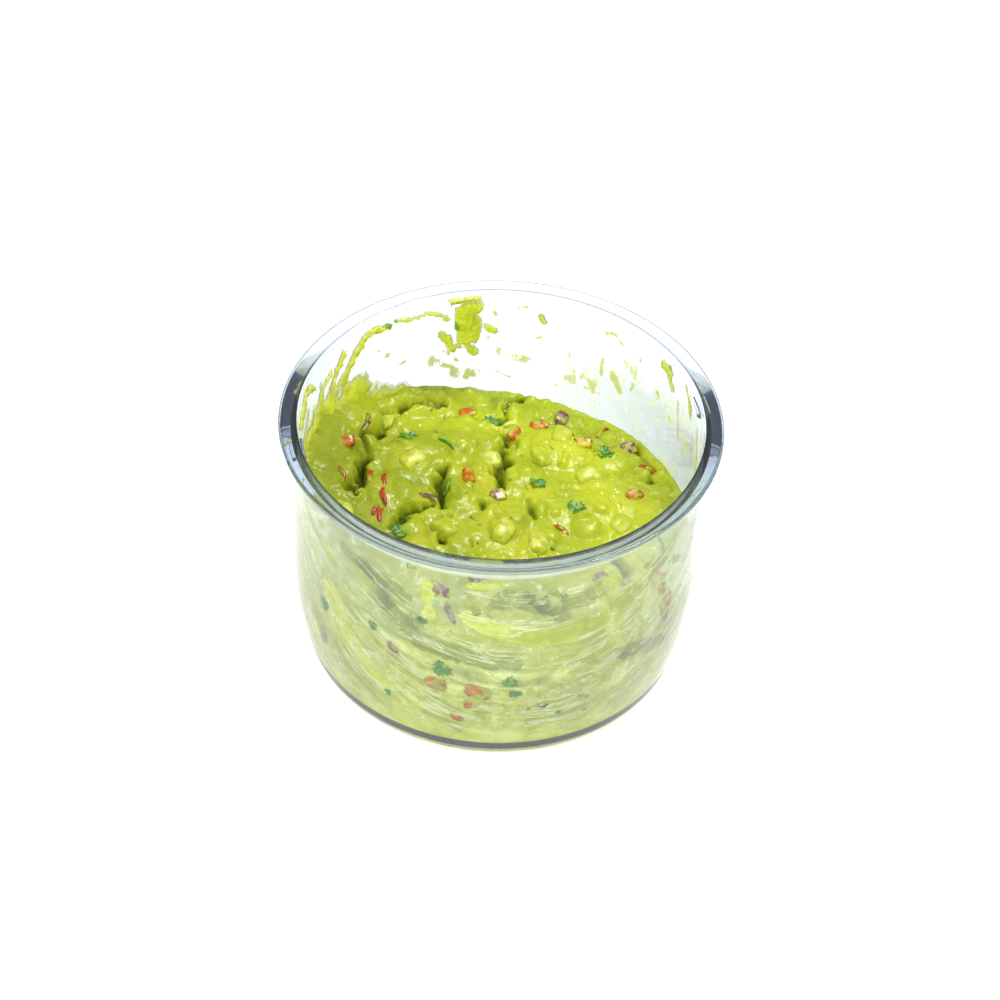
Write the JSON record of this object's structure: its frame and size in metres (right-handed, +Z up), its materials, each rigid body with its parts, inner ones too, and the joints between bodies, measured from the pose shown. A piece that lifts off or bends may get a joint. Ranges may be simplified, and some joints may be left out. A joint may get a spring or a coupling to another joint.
{
  "type": "food processor work bowl",
  "caption": "Clear round work bowl of a hand food processor, lid off, full of chunky guacamole over a cutter that spins on the bowl's spindle.",
  "frame": {"origin": "on the bowl's axis, at the level of the surface that the grip ring stands on", "axes": "+Z up along the bowl's and the cutter's axis, -Y towards the front, +X to the right seen from the front"},
  "size_m": [0.156, 0.156, 0.103],
  "materials": {
    "clear_plastic": "polished, clear",
    "grip_rubber": "soft satin",
    "stainless_steel": "fine brushed",
    "white_plastic": "fine satin",
    "bearing_plastic": "smooth",
    "mashed_avocado": "moist, lumpy",
    "avocado_flesh": "moist, smooth",
    "tomato": "wet",
    "red_onion": "wet, slightly see-through",
    "coriander": "leaf"
  },
  "bodies": {
    "filled_bowl": {"bowl": "clear_plastic", "grip_ring": "grip_rubber", "spindle_pin": "stainless_steel", "guacamole": "mashed_avocado", "wall_smears": "mashed_avocado", "avocado_chunks": "avocado_flesh", "tomato_dice": "tomato", "tomato_slivers": "tomato", "red_onion_dice": "red_onion", "red_onion_slivers": "red_onion", "coriander_leaves": "coriander", "coriander_stems": "coriander"},
    "cutter": {"cutter_stem": "white_plastic", "stem_bush": "bearing_plastic", "lower_blade": "stainless_steel", "lower_spacer": "white_plastic", "middle_blade": "stainless_steel", "upper_spacer": "white_plastic", "upper_blade": "stainless_steel", "stem_cap": "white_plastic"}
  },
  "joints": [
    {"name": "cutter_spin", "type": "hinge", "parent": "filled_bowl", "child": "cutter", "pos_m": [0, 0, 0.01], "axis": [0, 0, 1], "continuous": true}
  ]
}
